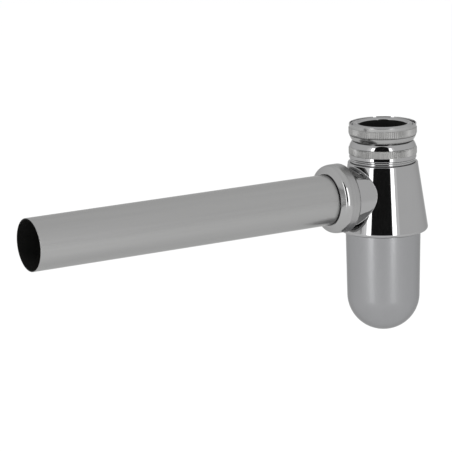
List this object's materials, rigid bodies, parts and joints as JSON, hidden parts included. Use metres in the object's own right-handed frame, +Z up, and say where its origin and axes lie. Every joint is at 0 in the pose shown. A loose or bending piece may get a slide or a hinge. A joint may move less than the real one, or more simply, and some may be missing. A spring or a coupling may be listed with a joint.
{
  "type": "sink trap",
  "caption": "Chrome cup trap for a basin: knurled union and compression nuts, a conical body, a round screw-on cup and a straight side outlet tube.",
  "frame": {"origin": "on the inlet axis, where the bore of the inlet tube meets its rolled rim", "axes": "+Z up along the inlet, -X out along the outlet tube, +Y completes a right-handed frame"},
  "size_m": [0.2793, 0.0572, 0.1348],
  "materials": {
    "polished_chrome": "polished chrome plate on brass",
    "satin_chrome": "satin chrome plate on brass",
    "black_rubber": "matte black rubber",
    "white_plastic": "plain white plastic"
  },
  "bodies": {
    "trap_body": {"trap_body": "polished_chrome", "inlet_seal": "black_rubber", "outlet_seal": "black_rubber"},
    "inlet_slip_ring": {"inlet_slip_ring": "white_plastic"},
    "inlet_compression_nut": {"inlet_compression_nut": "polished_chrome"},
    "inlet_union_nut": {"inlet_union_nut": "polished_chrome"},
    "inlet_tube": {"inlet_tube": "polished_chrome"},
    "outlet_slip_ring": {"outlet_slip_ring": "white_plastic"},
    "outlet_nut": {"outlet_nut": "polished_chrome"},
    "outlet_tube": {"outlet_tube": "satin_chrome"},
    "cup_gasket": {"cup_gasket": "black_rubber"},
    "cup": {"cup": "satin_chrome"}
  },
  "joints": [
    {"name": "inlet_nut_rise", "type": "slide", "parent": "trap_body", "child": "inlet_slip_ring", "axis": [0, 0, 1], "range_m": [0, 0.00693]},
    {"name": "inlet_nut_turn", "type": "hinge", "parent": "inlet_slip_ring", "child": "inlet_compression_nut", "pos_m": [0, 0, -0.0152], "axis": [0, 0, 1], "range_deg": [0, 1080]},
    {"name": "union_nut_spin", "type": "hinge", "parent": "inlet_slip_ring", "child": "inlet_union_nut", "pos_m": [0, 0, -0.0042], "axis": [0, 0, 1], "continuous": true},
    {"name": "inlet_tube_slide", "type": "slide", "parent": "trap_body", "child": "inlet_tube", "axis": [0, 0, 1], "range_m": [0, 0.04]},
    {"name": "outlet_nut_travel", "type": "slide", "parent": "trap_body", "child": "outlet_slip_ring", "axis": [-1, 0, 0], "range_m": [0, 0.00693]},
    {"name": "outlet_nut_turn", "type": "hinge", "parent": "outlet_slip_ring", "child": "outlet_nut", "pos_m": [-0.037, 0, -0.0435], "axis": [-1, 0, 0], "range_deg": [0, 1080]},
    {"name": "outlet_tube_slide", "type": "slide", "parent": "trap_body", "child": "outlet_tube", "axis": [-1, 0, 0], "range_m": [0, 0.005]},
    {"name": "cup_drop", "type": "slide", "parent": "trap_body", "child": "cup_gasket", "axis": [0, 0, -1], "range_m": [0, 0.00601]},
    {"name": "cup_turn", "type": "hinge", "parent": "cup_gasket", "child": "cup", "pos_m": [0, 0, -0.06], "axis": [0, 0, -1], "range_deg": [0, 1080]}
  ],
  "couplings": [
    {"joint": "inlet_nut_rise", "follows": "inlet_nut_turn", "m_per_rad": 0.00036749},
    {"joint": "outlet_nut_travel", "follows": "outlet_nut_turn", "m_per_rad": 0.00036749},
    {"joint": "cup_drop", "follows": "cup_turn", "m_per_rad": 0.00031831}
  ]
}
